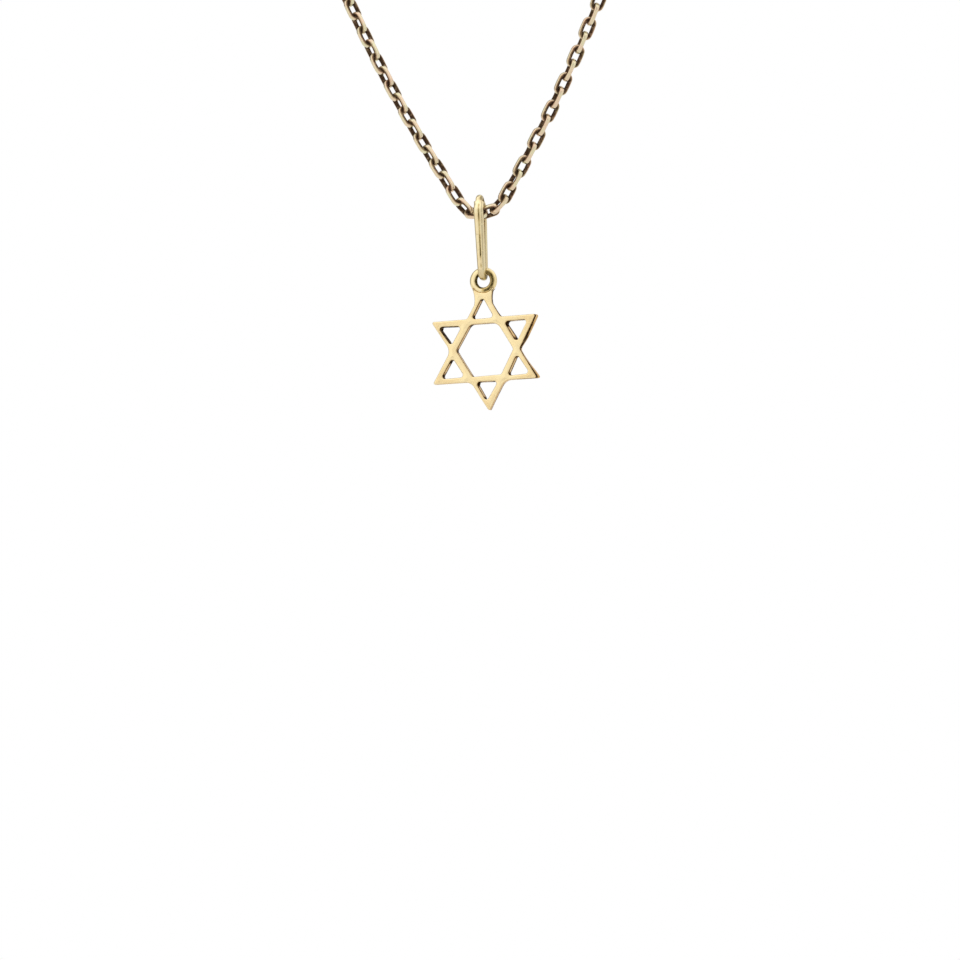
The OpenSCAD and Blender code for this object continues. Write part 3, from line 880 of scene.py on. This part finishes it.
# %% Flat course
# Radius of each bend in mm, and how far the course leans from upright, in degrees, before and after
BENDS = [(3.4, 90, 33), (150, 33, 30), (175, 30, 24)]
TOP_LEAN = np.radians(24)
table, length, point = [], 0.0, np.zeros(2)
for bend_r, lean_before, lean_after in BENDS:
    a, b = np.radians([lean_before, lean_after])
    table.append([length, *point, a, bend_r])
    length += bend_r * (a - b)
    point = point + bend_r * np.array([np.cos(b) - np.cos(a), np.sin(a) - np.sin(b)])
neck_turn = np.pi / 2 + TOP_LEAN
around_neck = neck_turn * point[0] / np.cos(TOP_LEAN)
straight = (half_loop - length - around_neck) / (1 + neck_turn * np.tan(TOP_LEAN))
table.append([length, *point, TOP_LEAN, np.inf])
point = point + straight * np.array([np.sin(TOP_LEAN), np.cos(TOP_LEAN)])
table.append([length + straight, *point, TOP_LEAN, point[0] / np.cos(TOP_LEAN)])
table = np.array(table)
print("straight stretch of", round(float(straight), 1), "mm up each side")


def flat_course(s):
    """Point at arc length s: its stretch's start plus r (cos b - cos a, sin a - sin b), or straight."""
    start, x, y, a, r = table[np.searchsorted(table[:, 0], s, side="right") - 1].T
    t = s - start
    b = a - t / r
    bent = np.where(np.isinf(r), 1, r)
    return np.stack([x + np.where(np.isinf(r), t * np.sin(a), bent * (np.cos(b) - np.cos(a))),
                     y + np.where(np.isinf(r), t * np.cos(a), bent * (np.sin(a) - np.sin(b)))], -1)


# %% Draped course
def lean_at(h):
    """Lean of the chest and shoulders at height h of the flat course."""
    return CHEST_LEAN + np.maximum(0, h - CHEST_H) / SHOULDER_R


def drape(p):
    """The flat point carried onto the body: up the chest, then back over a cylinder."""
    h, b = np.minimum(p[..., 1], CHEST_H), lean_at(p[..., 1])
    return np.stack([p[..., 0], h * np.sin(CHEST_LEAN) + SHOULDER_R * (np.cos(CHEST_LEAN) - np.cos(b)),
                     h * np.cos(CHEST_LEAN) + SHOULDER_R * (np.sin(b) - np.sin(CHEST_LEAN))], -1)


# %% [markdown]
# ## Joints
#
# Real links don't hang evenly. Three short tables say how far the joints slid along the course,
# how far they hang below or above it and how far they sway to the side. The links in the sharp
# bend at the bail also stand a little closer together.

# %% Joints
# The joint's number, counted from the link in the bail, and mm along, up, and to the right
SLID = [(-60, 0), (-26, 0.85), (-3, 0.85), (-0.5, 0.75), (0.5, 0.6), (8, 0.5), (14, 0),
        (26, -0.3), (60, 0)]
SAG = [(-4.5, 0), (-3.5, -0.1), (-2.5, -0.3), (-1.5, -0.4), (-0.5, -0.05), (0.5, 0.03),
       (1.5, 0.18), (3.5, 0)]
SWAY = [(-60, 0), (-26, 0.05), (-18, 0), (-12, -0.07), (-4, -0.09), (-1.5, 0), (1.5, -0.03),
        (2.5, -0.15), (7, -0.1), (12, 0), (18, 0.1), (24, 0.22), (40, 0)]


def flat_joint(k):
    """Joint below link k, counted from the link in the bail, in the flat."""
    n = k - 0.5
    slid, sag, sway = (np.interp(n, *np.array(moves).T) for moves in (SLID, SAG, SWAY))
    s = n * PITCH - np.sign(n) * np.minimum(2 * np.abs(n), 3) * BEND_SLACK + slid
    p = flat_course(np.abs(s))
    return np.stack([np.sign(s) * p[..., 0] + sway, p[..., 1] + sag], -1)


link_number = np.arange(-SIDE_LINKS, SIDE_LINKS + 1)
joints = flat_joint(np.arange(-SIDE_LINKS, SIDE_LINKS + 2))
nape = drape(np.array([0, joints[-1, 1]]))
draped = drape(joints) - nape
print("lowest joints at", np.round(draped[SIDE_LINKS:SIDE_LINKS + 2], 2).tolist())

# %% Frames of the links
WOBBLE = 3  # degrees
along = unit(draped[1:] - draped[:-1])
slope = lean_at((joints[1:, 1] + joints[:-1, 1]) / 2)
forward = np.stack([np.zeros_like(slope), -np.cos(slope), np.sin(slope)], -1)
out_way = unit(forward - (forward * along).sum(-1, keepdims=True) * along)
across_way = np.cross(out_way, along)
lay_run = np.where(link_number < 0, SIDE_LINKS, TURN_LINKS)
wobble = np.random.default_rng(7).uniform(-WOBBLE, WOBBLE, len(link_number))
twist = 45 * np.maximum(0, 1 - np.abs(link_number) / lay_run)
lay = np.radians(90 * link_number + twist + wobble)[:, None]
link_y = across_way * np.cos(lay) + out_way * np.sin(lay)
link_z = out_way * np.cos(lay) - across_way * np.sin(lay)
centres = (draped[1:] + draped[:-1]) / 2
print(len(centres), "links")

# %% [markdown]
# ## Links
#
# A link is flattened wire bent to an oblong, wider from front to back at its ends than along its
# sides. The links that show in front get a fine grid. The ones further up, about a hundred and
# fifty, get only a few dozen faces each.

# %% Link helpers
# The wire's width and thickness at the link's ends and in the middle of its sides
END_W, MIDDLE_W, END_T, MIDDLE_T = 0.55, 0.5, 0.62, 0.5


def oblong_link(rows, columns, phase, wide_over_all):
    """Link along X: a section |x|^3 + |z|^3 carried along x = R cos a + h clip(3 cos a), y = R sin a."""
    a = np.arange(rows) / rows * TURN
    turn_r = (wide_over_all - MIDDLE_W) / 2
    run = (PITCH + END_W) / 2 - turn_r
    centre = np.stack([turn_r * np.cos(a) + run * np.clip(3 * np.cos(a), -1, 1), turn_r * np.sin(a)], -1)
    ahead = np.roll(centre, -1, axis=0) - np.roll(centre, 1, axis=0)
    outside = unit(turned(ahead, -90))
    side, face = superellipse(np.arange(columns) / columns * TURN + phase, 3)
    end = np.abs(centre[:, 0]) / (run + turn_r)
    high = (MIDDLE_T + (END_T - MIDDLE_T) * end ** 1.5)[:, None] / 2 * face
    wide = (MIDDLE_W + (END_W - MIDDLE_W) * smoothstep(0.6, 1, end))[:, None] / 2 * side
    flat = centre[:, None] + outside[:, None] * wide[..., None]
    patina_and_shade = np.broadcast_to(smoothstep(0.9, 0.25, side), high.shape)
    return np.concatenate([flat, high[..., None]], -1), patina_and_shade


def chain_piece(name, chosen, rows, columns, phase, wide_over_all):
    """Copies of the link in the chosen places: centre + x along + y across + z out, all at once."""
    link, patina_and_shade = oblong_link(rows, columns, phase, wide_over_all)
    axes = np.stack([along[chosen], link_y[chosen], link_z[chosen]], 1)
    points = centres[chosen][:, None] + np.einsum("rcx,nxk->nrck", link, axes).reshape(len(axes), -1, 3)
    make_piece(name, points.reshape(-1, 3), [tube_faces(rows, columns, len(axes))],
               np.tile(patina_and_shade.ravel(), len(axes)), "chain", "chain_gold", "chain")


# %% Links
FRONT_LINKS, FRONT_LINK_W = 26, 1.82
# Rows along the link, columns round the wire, and the angle of the first column
FINE, COARSE = (40, 16, 0.0), (12, 5, TURN / 10)
in_view = np.abs(link_number) <= FRONT_LINKS
chain_piece("chain_front_links", in_view, *FINE, FRONT_LINK_W)
chain_piece("chain_back_links", ~in_view, *COARSE, LINK_W)
box_low, box_high = (np.array(c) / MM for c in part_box("chain"))
print("packed chain runs from", np.round(box_low, 2), "to", np.round(box_high, 2))

# %% [markdown]
# ## The clasp
#
# The clasp hides behind the neck. It is plain: a ring of tube and a small eye, one each side.

# %% Clasp
CLASP_ROWS, CLASP_COLUMNS = 64, 20
tilt = np.pi / 2 - lean_at(joints[-1, 1])
spin = np.array([[1, 0, 0], [0, np.cos(tilt), -np.sin(tilt)], [0, np.sin(tilt), np.cos(tilt)]])
reach_x = (clasp_run + LINK_SLACK) / 2
u, v = around_ring(CLASP_ROWS, CLASP_COLUMNS)
clasp_ring = torus((CLASP_HOLE + CLASP_WIRE) / 2, CLASP_WIRE, u, v) + [reach_x - CLASP_HOLE / 2, 0, 0]
eye = torus((EYE_HOLE + EYE_WIRE) / 2, EYE_WIRE, u, v) + [EYE_HOLE / 2 - reach_x, 0, 0]
# The inner sides of the clasp's rings get painted shade
make_piece("clasp_rings", np.concatenate([clasp_ring, eye]) @ spin.T,
           [tube_faces(CLASP_ROWS, CLASP_COLUMNS, 2)], np.tile(facing_in(v), 2) * 0.7,
           "chain", "star_gold", "clasp")
